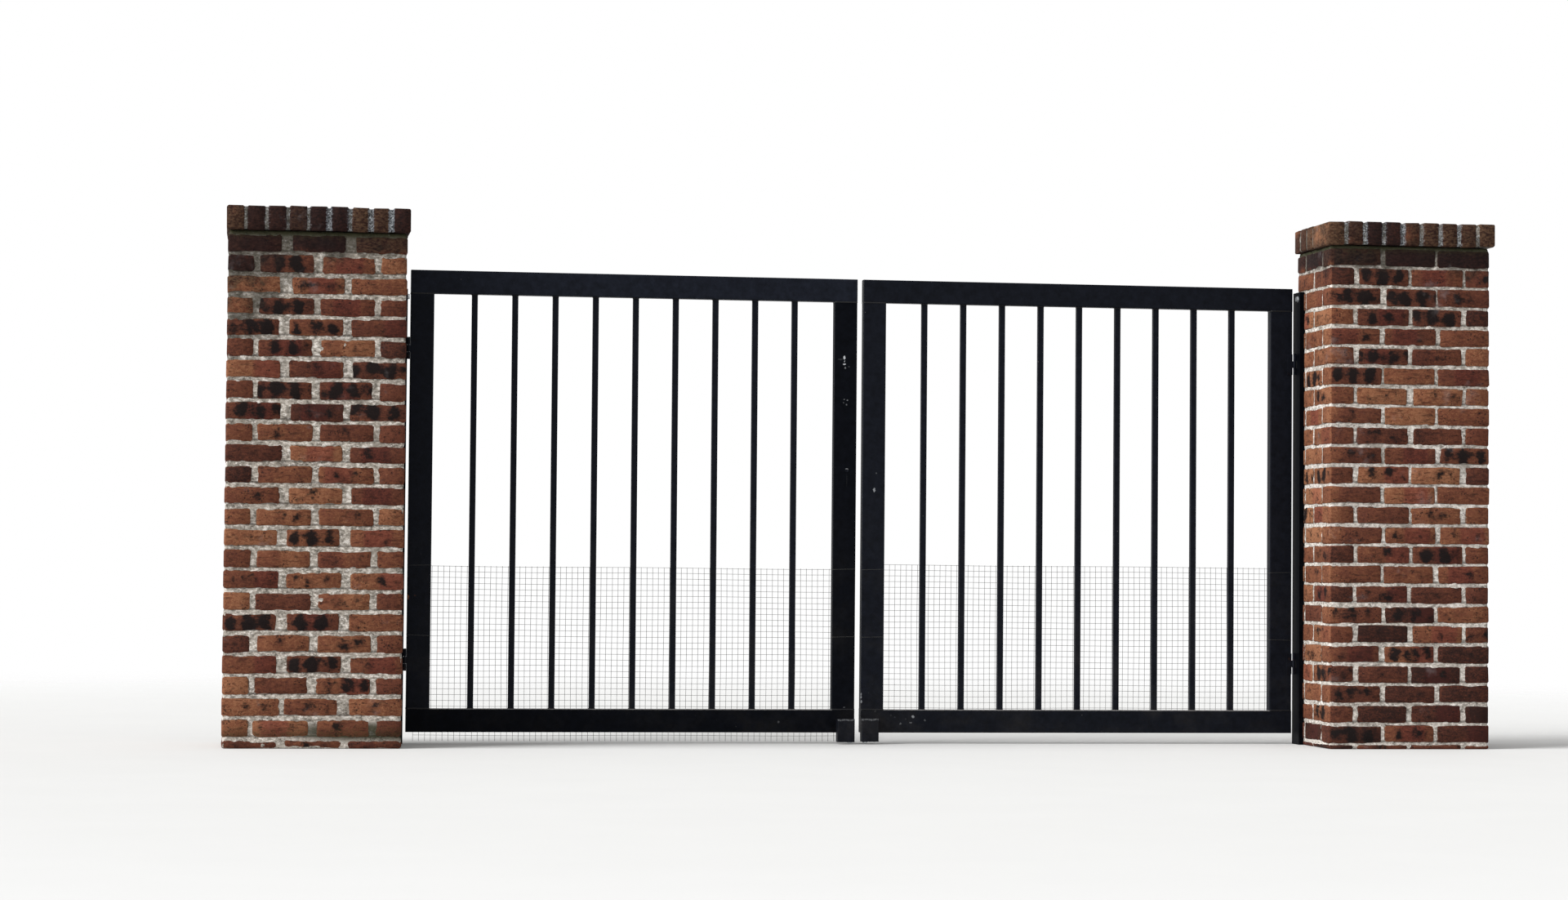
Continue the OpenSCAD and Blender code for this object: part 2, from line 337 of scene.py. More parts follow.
def kiln_marks(clay, brick, colour):
    """Dark wisps, scorch in lobes that lie along the brick and fade towards its edges, and open pits. Gives
    the wisps and the pits too, as reliefs."""
    dark_clay, pit_black = (0.036, 0.014, 0.010), (0.020, 0.012, 0.011)
    wisp = clay.noise(36.0, 5.0, 0.72, clay.vector("MULTIPLY", brick.place, (0.55, 1.0, 2.3)))
    wisp = clay.level(wisp, 0.45, 0.36)
    colour = clay.stain(colour, wisp, 0.50, dark_clay)

    far_along = clay.calc("POWER", clay.times(clay.calc("ABSOLUTE", brick.along), 9.4), 4.0)
    far_up = clay.calc("POWER", clay.times(clay.calc("ABSOLUTE", brick.high), 31.0), 2.0)
    lobes = clay.calc("COSINE", clay.times(clay.plus(brick.along, clay.times(brick.chance, 0.06)), 82.0))
    lobes = clay.times(brick.scorched, clay.plus(0.33, clay.times(lobes, 0.12)))
    scorch = clay.plus(clay.times(clay.noise(19.0, 3.0, 0.55, brick.place), 1.3), lobes,
                       clay.swing(brick.ragged, 0.60), clay.times(clay.plus(far_along, far_up), -0.22))
    char = clay.mix(brick.fine, (0.004, 0.003, 0.004), (0.016, 0.011, 0.010))
    colour = clay.stain(colour, clay.level(scorch, 0.72, 1.00), 0.98, char)

    stray = clay.vector("MULTIPLY", clay.drift(130.0, 2.0), (0.010, 0.010, 0.010))
    pits = clay.cells(88.0, at=clay.vector("ADD", clay.here, stray))
    pits = clay.level(clay.plus(pits, clay.swing(brick.fine, 0.25)), 0.36, 0.16)
    pits = clay.times(pits, clay.level(clay.noise(24.0, 2.0, 0.5), 0.52, 0.63))
    return clay.stain(colour, pits, 0.85, pit_black), wisp, pits


def weathering(clay, brick, colour):
    """A film of grime, painted shade in brown along the brick edges in the joints, smears of mortar along
    the joints, a grey bloom, moss where it is wet, which under the cap is also painted shadow, and lichen
    on the arrises. Each lies where the brick's own value plus some noise is high."""
    grime = clay.plus(brick.sooty, clay.swing(clay.noise(7.0, 5.0, 0.65), 2.2))
    grime = clay.level(grime, 0.36, 0.90)
    film = clay.mix(clay.level(brick.tone, 0.25, 0.80), (0.022, 0.011, 0.010), (0.094, 0.058, 0.034))
    film = clay.mix(clay.level(brick.ragged, 0.36, 0.66), (0.009, 0.005, 0.005), film)
    colour = clay.stain(colour, grime, 0.86, film)

    # Painted shade: a brown darkening of the brick edges that lie in the joints, where the mortar would shade
    # them.
    edge_shade_brown = (0.030, 0.018, 0.013)
    edge_shade = clay.level(clay.plus(brick.jointed, clay.swing(brick.cloud, 0.8)), 0.50, 0.90)
    colour = clay.stain(colour, edge_shade, 0.60, edge_shade_brown)
    smear = clay.level(clay.plus(brick.jointed, clay.swing(brick.ragged, 2.0)), 0.92, 1.10)
    smear = clay.times(smear, clay.plus(1.0, clay.times(grime, -0.8)))
    lime = clay.mix(brick.fine, (0.200, 0.175, 0.145), (0.520, 0.475, 0.415))
    colour = clay.stain(colour, smear, 0.80, lime)

    bloom_grey, moss = (0.270, 0.240, 0.245), (0.024, 0.022, 0.009)
    colour = clay.stain(colour, clay.level(clay.noise(5.5, 4.0, 0.65), 0.60, 0.76), 0.30, bloom_grey)
    # Under the cap this dark moss green also stands for painted shadow of the cap.
    green = clay.level(clay.plus(brick.wet, clay.swing(brick.ragged, 0.9)), 0.45, 0.95)
    colour = clay.stain(colour, green, 0.8, moss)
    near_arris = clay.level(clay.calc("ABSOLUTE", brick.high), 0.020, 0.036)
    growth = clay.plus(clay.swing(brick.ragged, 1.6), clay.swing(brick.fine, 1.3),
                       clay.times(clay.kept("crust", "Fac"), near_arris))
    lichen = clay.mix(brick.fine, (0.060, 0.070, 0.085), (0.400, 0.430, 0.465))
    return clay.stain(colour, clay.level(growth, 0.45, 0.95), 0.85, lichen)


def tumbled_clay():
    """Burnt clay, from the values that each brick holds: lot is its tone, its scorch and a chance of its
    own, lay is the place within the brick, and state is how much a point lies in the joint, in grime and
    in damp, where a damp below 0 is painted light that makes the brick paler. The noises in the brick's
    own place are moved on from brick to brick, so that no two match."""
    clay = Finish("tumbled_brick", Specular_IOR_Level=0.10)
    brick = SimpleNamespace()
    brick.tone, brick.scorched, brick.chance = clay.parts("SeparateColor", clay.kept("lot"))
    brick.jointed, brick.sooty, brick.wet = clay.parts("SeparateColor", clay.kept("state"))
    lay = clay.kept("lay", "Vector")
    brick.along, _, brick.high = clay.parts("SeparateXYZ", lay)
    shuffle = clay.add("CombineXYZ", {0: clay.times(brick.tone, 37.0), 1: clay.times(brick.chance, 23.0)})
    brick.place = clay.vector("ADD", lay, shuffle)
    brick.cloud = clay.noise(13.0, 3.0, 0.6, brick.place)
    brick.ragged = clay.noise(75.0, 4.0, 0.70, clay.vector("MULTIPLY", clay.here, (0.75, 0.75, 1.45)))
    brick.fine = clay.noise(330.0, 3.0, 0.6)
    colour, wisp, pits = kiln_marks(clay, brick, fired_colour(clay, brick))
    return clay.finish(weathering(clay, brick, colour), clay.between(brick.cloud, 0.78, 0.96),
                       (brick.ragged, 0.0040), (brick.fine, 0.0012), (pits, -0.0020), (wisp, -0.0012))


def under_cap(below):
    """1 down to 35 mm below the cap, and from there falling to 0 at 105 mm."""
    return np.clip(1.5 - below / 0.070, 0, 1)


def shaft_marks(points, side, low, high):
    """Grime, damp and pale growth on a shaft. Grime falls off below the cap, and on the left pier it goes
    down further at the left-hand side. Damp is a green band above the ground and a dark one under the cap,
    which is moss and painted shadow of the cap; below 0 it stands for painted light, which makes the inner
    side of the right pier paler. There is no growth."""
    own, left = shaft[side], side == "left"
    x, below = points[:, 0], high[2] - points[:, 2]

    # aside is how far to the left a point lies. Below its reach the grime gives way to cleaner bricks.
    aside = left * np.clip(((low[0] + high[0]) / 2 - x) / half_width, -0.3, 1)
    reach = 0.24 + 0.18 * aside
    start = 0.95 + np.clip(1.6 * (aside - 0.35), 0, 0.55)
    grime = np.clip(start - below / reach, 0, 1) - 0.3 * (below > reach)
    grime = grime + own["top_grime"] * under_cap(below)
    # Painted shadow: the dark band under the cap stands for the cap's shadow as well as moss.
    damp = own["foot_green"] * bump(points[:, 2], 0.07, 0.045) + 0.75 * bump(below, 0, 0.055)
    # Painted light: points on the inner side of the right pier get a damp below 0, which the finish turns
    # into a paler tone.
    return grime, damp - own["painted_side_light"] * (x < low[0] + side_skin), np.zeros(len(points))


# The courses are laid from the top down, on a plan that is spread to the width of the pier. Lengthways
# bricks fall short, but stay flush at the corners, and those in the middle lie a little loose.
brick_clay, slack = tumbled_clay(), 0.005
tone_range, top_course_drop, chest_height, chest_reach = 0.80, 0.22, 1.20, 0.7
usual_scorch, heavy_scorch, black_scorch, black_tone = (0.0, 0.45), (0.5, 1.0), 1.1, 0.42
for side in sides:
    own = shaft[side]
    low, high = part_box(f"{side}_pier")
    spread = (high[0] - low[0]) / (2 * half_width)
    laid = [two_along if k % 2 else three_along for k in range(math.ceil(high[2] / own["rise"]))]
    rows = np.concatenate([np.c_[np.array(bricks), np.full(len(bricks), k)] for k, bricks in enumerate(laid)])
    across, inward, turned, length, course = rows.T
    many, turned = len(rows), turned == 1
    crown = high[2] - own["rise"] * course - top_bed
    foot = np.maximum(crown - brick_height, 0.0)
    short = np.where(turned, 0.0, rng.uniform(*own["cut"], many))
    loose = rng.uniform(-slack, slack, many)
    loose = np.where(np.abs(across) < 0.2, loose, np.sign(across) * short / 2)
    place = np.c_[(low[0] + high[0]) / 2 + spread * across + loose, inward, (crown + foot) / 2]
    size = np.c_[length * np.where(turned, 1.0, spread) - short, brick_width * np.where(turned, spread, 1.0),
                 crown - foot]

    # The tones bunch about the middle of their range, and the first course is darker.
    tone = own["tone"] + tone_range * rng.beta(2.2, 2.2, many)
    tone = tone - own["drab"] * np.clip(np.abs(place[:, 2] - chest_height) / chest_reach - 0.35, 0, 1)
    tone = tone - top_course_drop * (course == 0)
    burnt = np.where(rng.random(many) < own["scorched"], rng.uniform(*heavy_scorch, many),
                     rng.uniform(*usual_scorch, many))
    for row, x in black_bricks[side]:
        seen = (course == row - 1) & (inward < -0.1) & (np.abs(across - x) < 0.07)
        burnt[seen], tone[seen] = black_scorch, black_tone
    lay_bricks(f"{side}_pier_bricks", f"{side}_pier", "brickwork", place,
               np.where(turned[:, None, None], side_on, upright), size,
               np.c_[tone, burnt, rng.random(many)], own["arris"],
               lambda points: shaft_marks(points, side, low, high))


# Mortar of the shafts: pale lime and sand, struck flush with a bag, so that it laps over the worn arrises
# and stands a little behind the brick faces. It is one skin round each pier.
skin_step, skin_corner, end_gap = 0.0090, 0.012, 0.001

# What the mortar of each shaft has of its own: its depth, the pale wash at the foot and in a band higher up,
# and the dirt below the cap, with its slant to the left-hand side.
mortar = {
    "left": dict(back=0.0034, wash_share=0.45, wash=1.0, wash_height=1.6, band=0.40, band_height=1.65,
                 band_width=0.20, slant=1.10, soot_reach=0.42),
    "right": dict(back=0.0038, wash_share=1.0, wash=1.25, wash_height=2.8, band=0.55, band_height=1.25,
                  band_width=0.40, slant=0.0, soot_reach=0.26),
}


def outline(half_x, half_y, radius, count):
    """count even steps round a rectangle with rounded corners, and the outward direction at each. Each
    corner is a quarter circle about a point radius in from both sides."""
    quarter = np.linspace(0, math.pi / 2, 9)
    angle = quarter[None] + np.arange(4)[:, None] * math.pi / 2
    round_to = np.stack([np.cos(angle), np.sin(angle)], -1)
    corner = np.array([(1, 1), (-1, 1), (-1, -1), (1, -1)]) * (half_x - radius, half_y - radius)
    line = (corner[:, None] + radius * round_to).reshape(-1, 2)
    facing = round_to.reshape(-1, 2)
    line, facing = np.vstack([line, line[:1]]), np.vstack([facing, facing[:1]])
    run = np.concatenate([[0], np.cumsum(np.linalg.norm(np.diff(line, axis=0), axis=1))])
    at = np.linspace(0, run[-1], count, endpoint=False)
    spot = np.stack([np.interp(at, run, line[:, i]) for i in (0, 1)], -1)
    way = np.stack([np.interp(at, run, facing[:, i]) for i in (0, 1)], -1)
    return spot, way / np.linalg.norm(way, axis=1, keepdims=True)


def skins(rings, shut=False):
    """Closed surfaces from rings of points, an array of (how many, rings, points round, 3). Each point joins
    the next one round its ring and the same one of the next ring. If shut, the last ring joins the first;
    if not, a middle point closes each end."""
    many, along, around = rings.shape[:3]
    number = np.arange(many * along * around).reshape(many, along, around)
    beside = np.roll(number, -1, 2)
    if shut:
        quads = np.stack([number, beside, np.roll(beside, -1, 1), np.roll(number, -1, 1)], -1)
        return rings.reshape(-1, 3), [quads.reshape(-1, 4)]
    quads = np.stack([number[:, :-1], beside[:, :-1], beside[:, 1:], number[:, 1:]], -1)
    first = number.size + np.repeat(np.arange(many)[:, None], around, 1)
    ends = np.concatenate([np.stack([beside[:, 0], number[:, 0], first], -1),
                           np.stack([number[:, -1], beside[:, -1], first + many], -1)])
    points = np.concatenate([rings.reshape(-1, 3), rings[:, 0].mean(1), rings[:, -1].mean(1)])
    return points, [quads.reshape(-1, 4), ends.reshape(-1, 3)]


def smoothed(values, times):
    """Random numbers softened by averaging each with its neighbours, that many times, round the ring and
    up it, and brought back to a spread of 1."""
    for _ in range(times):
        values = (np.roll(values, 1, 0) + 2 * values + np.roll(values, -1, 0)) / 4
        values = (np.roll(values, 1, 1) + 2 * values + np.roll(values, -1, 1)) / 4
    return values / values.std()


def mortar_skin(middle, half_x, half_y, low, high, step, back):
    """A rounded box: at s round the outline and t up it, the face stands back by a set depth plus two sizes
    of random relief. The first and last rings are drawn in, and five smaller rings and a middle point close
    each end."""
    crumbs, swells, proud, deep, lip = 0.00095, 0.00060, 0.0023, 0.0028, 0.004
    spot, way = outline(half_x, half_y, skin_corner, int(4 * (half_x + half_y) / step))
    levels = np.linspace(low, high, max(int((high - low) / step), 4))
    shape = len(levels), len(spot)
    relief = crumbs * smoothed(rng.normal(0, 1, shape), 1)
    relief = relief + swells * smoothed(rng.normal(0, 1, shape), 8)
    depth = np.clip(back - relief, back - proud, back + deep)
    depth[[0, -1]] = back + lip
    flat = spot[None] - way[None] * depth[..., None]
    rings = np.concatenate([flat, np.broadcast_to(levels[:, None, None], flat.shape[:2] + (1,))], -1)
    inwards = np.linspace(0.9, 0.1, 5)[:, None, None]
    foot = np.concatenate([rings[:1, :, :2] * inwards[::-1], np.full((5, len(spot), 1), low)], -1)
    head = np.concatenate([rings[-1:, :, :2] * inwards, np.full((5, len(spot), 1), high)], -1)
    return skins((np.concatenate([foot, rings, head]) + (middle, 0, 0))[None])


def lime_and_sand():
    """Mortar, from the values held at its points: state is how pale, how sooty and how damp it is, bed the
    count of courses from the top, and crust the old growth. Each mark is laid over where its noise is
    high."""
    lime = Finish("lime_mortar", Specular_IOR_Level=0.10)
    pale, sooty, wet = lime.parts("SeparateColor", lime.kept("state"))
    from_bed = lime.calc("SUBTRACT", lime.calc("FRACT", lime.plus(lime.kept("bed", "Fac"), 0.5)), 0.5)
    dragged = lime.vector("MULTIPLY", lime.here, (1.0, 1.0, 1.7))
    crumb = lime.noise(48.0, 7.0, 0.72, dragged)
    grain = lime.noise(520.0, 2.0, 0.6)

    # Painted shade: the colour follows the crumb relief, darkest in its hollows and palest on its tops.
    colour = lime.ramp(crumb, (0.31, (0.080, 0.070, 0.055)), (0.41, (0.260, 0.232, 0.195)),
                       (0.52, (0.510, 0.452, 0.386)), (0.60, (0.930, 0.872, 0.806)))
    washed = lime.ramp(crumb, (0.33, (0.200, 0.185, 0.165)), (0.45, (0.600, 0.552, 0.502)),
                       (0.60, (0.930, 0.876, 0.824)))
    colour = lime.stain(colour, pale, 0.60, washed)

    sand, bed_shadow_brown, crack_shade_brown = (0.230, 0.200, 0.165), (0.060, 0.048, 0.038), (0.070, 0.056, 0.044)
    colour = lime.stain(colour, lime.level(lime.noise(7.0, 3.0, 0.6), 0.50, 0.78), 0.8, sand)
    # Painted shadow: a dark brown line in each bed joint just under the brick above, where its shadow falls.
    under = lime.plus(from_bed, lime.swing(crumb, 0.10))
    under = lime.times(lime.level(under, -0.120, -0.160), lime.level(under, -0.26, -0.21))
    colour = lime.stain(colour, under, 0.6, bed_shadow_brown)
    # Painted shade: the cracks, thin lines of relief, are darkened as if shaded inside.
    wander = lime.calc("ABSOLUTE", lime.calc("SUBTRACT", lime.noise(62.0, 5.0, 0.62, dragged), 0.5))
    crack = lime.level(wander, 0.020, 0.004)
    crack = lime.times(crack, lime.level(lime.noise(19.0, 2.0, 0.5), 0.44, 0.58))
    colour = lime.stain(colour, crack, 0.70, crack_shade_brown)

    soot_brown, moss = (0.056, 0.050, 0.038), (0.030, 0.031, 0.011)
    soot = lime.plus(sooty, lime.swing(lime.noise(11.0, 5.0, 0.65), 2.2))
    colour = lime.stain(colour, lime.level(soot, 0.25, 0.90), 0.80, soot_brown)
    # Under the cap this dark green also stands for painted shadow of the cap.
    green = lime.level(lime.plus(wet, lime.swing(crumb, 1.2)), 0.35, 0.85)
    colour = lime.stain(colour, green, 0.9, moss)

    growth = lime.plus(lime.swing(crumb, 1.9), lime.swing(grain, 1.2), lime.kept("crust", "Fac"))
    spots = lime.level(lime.noise(150.0, 4.0, 0.75), 0.44, 0.62)
    lichen = lime.mix(spots, (0.036, 0.043, 0.054), (0.600, 0.635, 0.670))
    colour = lime.stain(colour, lime.level(growth, 0.15, 0.95), 0.9, lichen)
    return lime.finish(colour, 0.93, (crumb, 0.0080), (grain, 0.0012), (crack, -0.0015))


def shaft_mortar_marks(points, side, low, high):
    """Pale, dirty and damp mortar. It is washed paler low down and at about chest height, the dirt falls off
    below the cap, most at the left-hand side of the left pier, and damp lies at the foot and under the
    cap, where it is moss and painted shadow of the cap."""
    own, x, z = mortar[side], points[:, 0], points[:, 2]
    below = high[2] - z
    fade = np.clip(own["wash"] - z / own["wash_height"], 0, 1)
    pale = own["wash_share"] * fade + own["band"] * bump(z, own["band_height"], own["band_width"])
    aside = own["slant"] * np.clip(((low[0] + high[0]) / 2 - x) / half_width, -0.05, 1)
    dirt = np.clip(0.92 + aside - below / own["soot_reach"], -0.3, 1) + 0.45 * under_cap(below)
    foot = np.clip((x + 2.75) / 0.5, 0.2, 1.0) if side == "left" else 0.3
    # Painted shadow: the damp band under the cap is partly the cap's shadow and partly moss.
    return pale, dirt, foot * bump(z, 0.07, 0.05) + 0.9 * bump(below, 0, 0.035)


lime_mortar = lime_and_sand()
for side in sides:
    low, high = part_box(f"{side}_pier")
    points, faces = mortar_skin((low[0] + high[0]) / 2, (high[0] - low[0]) / 2, half_depth, end_gap,
                                high[2] - end_gap, skin_step, mortar[side]["back"])
    courses = (high[2] - points[:, 2] - top_bed) / shaft[side]["rise"]
    put_piece(f"{side}_pier_mortar", points, faces, lime_mortar, "gateway", "brickwork", [f"{side}_pier"],
              state=held_together(*shaft_mortar_marks(points, side, low, high)),
              bed=courses[:, None], crust=np.zeros((len(points), 1)))


# Caps: bricks laid on edge over the shafts, 12.5 mm proud at front, back and inner side, 8.5 mm at the outer
# side of the left pier and 23.5 mm at that of the right one. Nine stand front to back along the front, and
# three rows lie along the pier behind them. They are the most weathered part, with old grey growth.
thick, end_inset, front_inset, row_inset = 0.0745, 0.0375, 0.1170, 0.2805
row_end, joint, crown_gap, cap_arris, joint_inset = 0.0003, 0.010, 0.003, 0.0070, 0.0800
skin_foot, skin_head = 0.004, 0.0072
on_edge_inward = np.array([[0.0, 0, 1], [1, 0, 0], [0, 1, 0]])
on_edge_along = np.array([[1.0, 0, 0], [0, 0, -1], [0, 1, 0]])

# What each cap has of its own: the tones of the front's bricks and the growth on its joints, from left to
# right, its grime, the soot on its mortar and the painted light that makes its inner end paler.
cap = {
    "left": dict(tones=(0.62, 0.28, 0.30, 0.45, 0.22, 0.20, 0.78, 0.60, 0.24), grime=1.06, painted_side_light=0.0,
                 growth=(0.35, 0.45, 0.40, 0.42, 0.80, 0.58, 0.75, 0.95), soot=1.10),
    "right": dict(tones=(0.85, 0.50, 0.18, 0.14, 0.55, 0.62, 0.66, 0.60, 0.72), grime=0.98, painted_side_light=-0.55,
                  growth=(0.45, 0.70, 0.55, 0.75, 0.45, 0.60, 0.65, 0.30), soot=0.85),
}


def cap_growth(points, joints, amounts, front):
    """Pale growth on the upright joints of the front: each joint has its own amount, and the rest lies
    between them."""
    x, middle = points[:, 0], joints.mean()
    near = (points[:, 1] < front + 0.02) * (np.abs(x - middle) < joints[-1] - middle + 0.014)
    return np.interp(x, joints, amounts) * near


def cap_marks(points, side, low, high, joints):
    """Grime of a cap, a little less towards its left-hand end, painted light that makes the inner side of
    the right one paler, and the growth on the joints."""
    own, x = cap[side], points[:, 0]
    grime = own["grime"] - 0.22 * np.clip(((low[0] + high[0]) / 2 - x) / half_width - 0.6, 0, 1)
    # Painted light: a negative amount here gives the inner side a damp below 0, which makes its bricks paler.
    return grime, own["painted_side_light"] * (x < low[0] + side_skin), cap_growth(points, joints, own["growth"], low[1])


for side in sides:
    own = cap[side]
    low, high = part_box(f"{side}_pier_cap")
    middle, half_cap = (low[0] + high[0]) / 2, (high[0] - low[0]) / 2
    middle_z, tall = (low[2] + high[2]) / 2, high[2] - low[2] - crown_gap
    in_front = np.linspace(low[0] + end_inset, high[0] - end_inset, len(own["tones"]))
    front = [(x, low[1] + front_inset, middle_z) for x in in_front]
    third = (2 * half_cap - 2 * row_end - 2 * joint) / 3
    in_row = np.linspace(low[0] + row_end + third / 2, high[0] - row_end - third / 2, 3)
    rows = np.linspace(low[1] + row_inset, high[1] - end_inset, 3)
    place = np.array(front + [(x, y, middle_z) for y in rows for x in in_row])
    many, behind = len(place), len(place) - len(front)
    turn = np.array([on_edge_inward] * len(front) + [on_edge_along] * behind)
    size = np.array([(brick_length, tall, thick)] * len(front) + [(third, tall, thick)] * behind)
    lots = np.c_[rng.uniform(0.15, 0.85, many), rng.uniform(0.0, 0.7, many), rng.random(many)]
    lots[:len(front), 0] = own["tones"]
    joints = np.linspace(low[0] + joint_inset, high[0] - joint_inset, len(own["growth"]))
    lay_bricks(f"{side}_cap_bricks", f"{side}_pier_cap", "cap_brick", place, turn, size, lots, cap_arris,
               lambda points: cap_marks(points, side, low, high, joints))
    points, faces = mortar_skin(middle, half_cap, high[1], low[2] + skin_foot, high[2] - skin_head,
                                step=0.0080, back=0.0042)
    # The mortar is darkened towards its foot, over its lowest 15 mm.
    soot = np.maximum(own["soot"], 1.2 - (points[:, 2] - low[2]) / 0.015)
    growth = cap_growth(points, joints, own["growth"], low[1])
    put_piece(f"{side}_cap_mortar", points, faces, lime_mortar, "gateway", "cap_brick", [f"{side}_pier_cap"],
              state=held_together(0.2, soot, 0.0), bed=np.zeros((len(points), 1)), crust=growth[:, None])


# Hanging plates: flat steel bars stood against the inner faces of the piers and painted black with the gate,
# each held to the brickwork by a galvanised bolt near its top.
def black_paint(name, marks=(), bare=(0.62, 0.64, 0.67), rust=0.0, gloss=0.06, front=0.195,
                dust_above=None, shade=1.0):
    """Satin black paint. marks are (x, z, half width, half height, strength) places on the front where it is
    chipped to the pale metal, with ragged edges; rust is how much brown shows in small patches; dust lies
    above the height dust_above; shade makes the black lighter or darker."""
    coat = Finish(name, Specular_IOR_Level=gloss)
    brushed = coat.noise(38.0, 4.0, 0.6)
    peel = coat.noise(900.0, 1.0, 0.5)
    # The blue in these blacks is partly the paint's own and partly a painted reflection of the sky.
    deep, pale = (tuple(shade * c for c in black)
                  for black in ((0.0031, 0.0038, 0.0062), (0.0066, 0.0080, 0.0128)))
    colour = coat.ramp(brushed, (0.3, deep), (0.7, pale))

    dust, splash, settled_dust = (0.075, 0.066, 0.056), (0.20, 0.19, 0.18), (0.300, 0.290, 0.285)
    dusty = coat.times(coat.level(coat.noise(4.5, 5.0, 0.7), 0.42, 0.75), coat.level(coat.up, 1.3, 0.0))
    colour = coat.stain(colour, dusty, 0.16 * shade, dust)
    grit = coat.times(coat.level(coat.cells(26.0), 0.055, 0.035),
                      coat.level(coat.noise(3.0, 2.0, 0.5), 0.55, 0.68))
    colour = coat.stain(colour, grit, 0.55, splash)
    if rust:
        rusty = coat.level(coat.plus(coat.noise(46.0, 5.0, 0.7), rust), 0.80, 0.92)
        colour = coat.mix(rusty, colour, coat.mix(peel, (0.050, 0.017, 0.008), (0.120, 0.045, 0.018)))
    if dust_above:
        up = coat.plus(coat.up, coat.times(coat.noise(90.0), 0.003))
        colour = coat.stain(colour, coat.level(up, dust_above, dust_above + 0.002), 0.75, settled_dust)
    rough = coat.between(brushed, 0.44, 0.60)
    if not marks:
        return coat.finish(colour, rough, (brushed, 0.00035), (peel, 0.00010))

    wander = coat.vector("SUBTRACT", coat.drift(240.0, 3.0), (0.5, 0.5, 0.5))
    ragged = coat.vector("ADD", coat.here, coat.vector("MULTIPLY", wander, (0.009, 0.009, 0.009)))
    lost = 0.0
    for x, z, wide, tall, strength in marks:
        away = coat.vector("SUBTRACT", ragged, (x, front, z))
        away = coat.length(coat.vector("DIVIDE", away, (wide, 0.010, tall)))
        lost = coat.calc("MAXIMUM", lost, coat.times(coat.level(away, 1.10, 0.75), strength))
    colour = coat.mix(lost, colour, bare)
    return coat.finish(colour, rough, (brushed, 0.00035), (peel, 0.00010), (lost, -0.0002))


def galvanised():
    """Zinc on steel: a spangle of small crystals in its gloss, and a dull cloud in its colour."""
    zinc = Finish("galvanised_steel", Metallic=0.85)
    dull = zinc.noise(85.0, 4.0, 0.6)
    colour = zinc.mix(dull, (0.36, 0.38, 0.40), (0.68, 0.70, 0.72))
    return zinc.finish(colour, zinc.between(zinc.cells(240.0, "Color"), 0.32, 0.58), (dull, 0.0004))


def coat_nodes(material, *names):
    """Gives a finish to nodes whose shape stays as it is."""
    for name in names:
        node[name].data.materials.clear()
        node[name].data.materials.append(material)


galvanised_steel = galvanised()
# Painted shade: the plates' black is darkened to about a third, standing for the shade in the narrow gap
# between pier and leaf.
coat_nodes(black_paint("hanging_plate_shaded_paint", rust=0.13, gloss=0.03, shade=0.35),
           "left_hanging_plate", "right_hanging_plate")
coat_nodes(galvanised_steel, "left_plate_bolt", "right_plate_bolt")


# Fixed halves of the hinges: the outer knuckles of each butt hinge and their pin, welded to the plate just
# in front of the leaf. They are painted over with the gate, and rub to brown rust where they turn.
hinges = [f"{side}_{which}_hinge" for side in sides for which in ("upper", "lower")]
hinge_black = black_paint("hinge_paint", rust=0.20)
coat_nodes(hinge_black, *[f"{hinge}_fixed" for hinge in hinges])


# Frames of the two leaves: rectangular steel tube, 100 by 50 mm, the rails running full length over and
# under the stiles. The meeting stiles and the right bottom rail have lost flecks of paint, and old splashes
# dot them.
satin_black = black_paint("satin_black_paint")

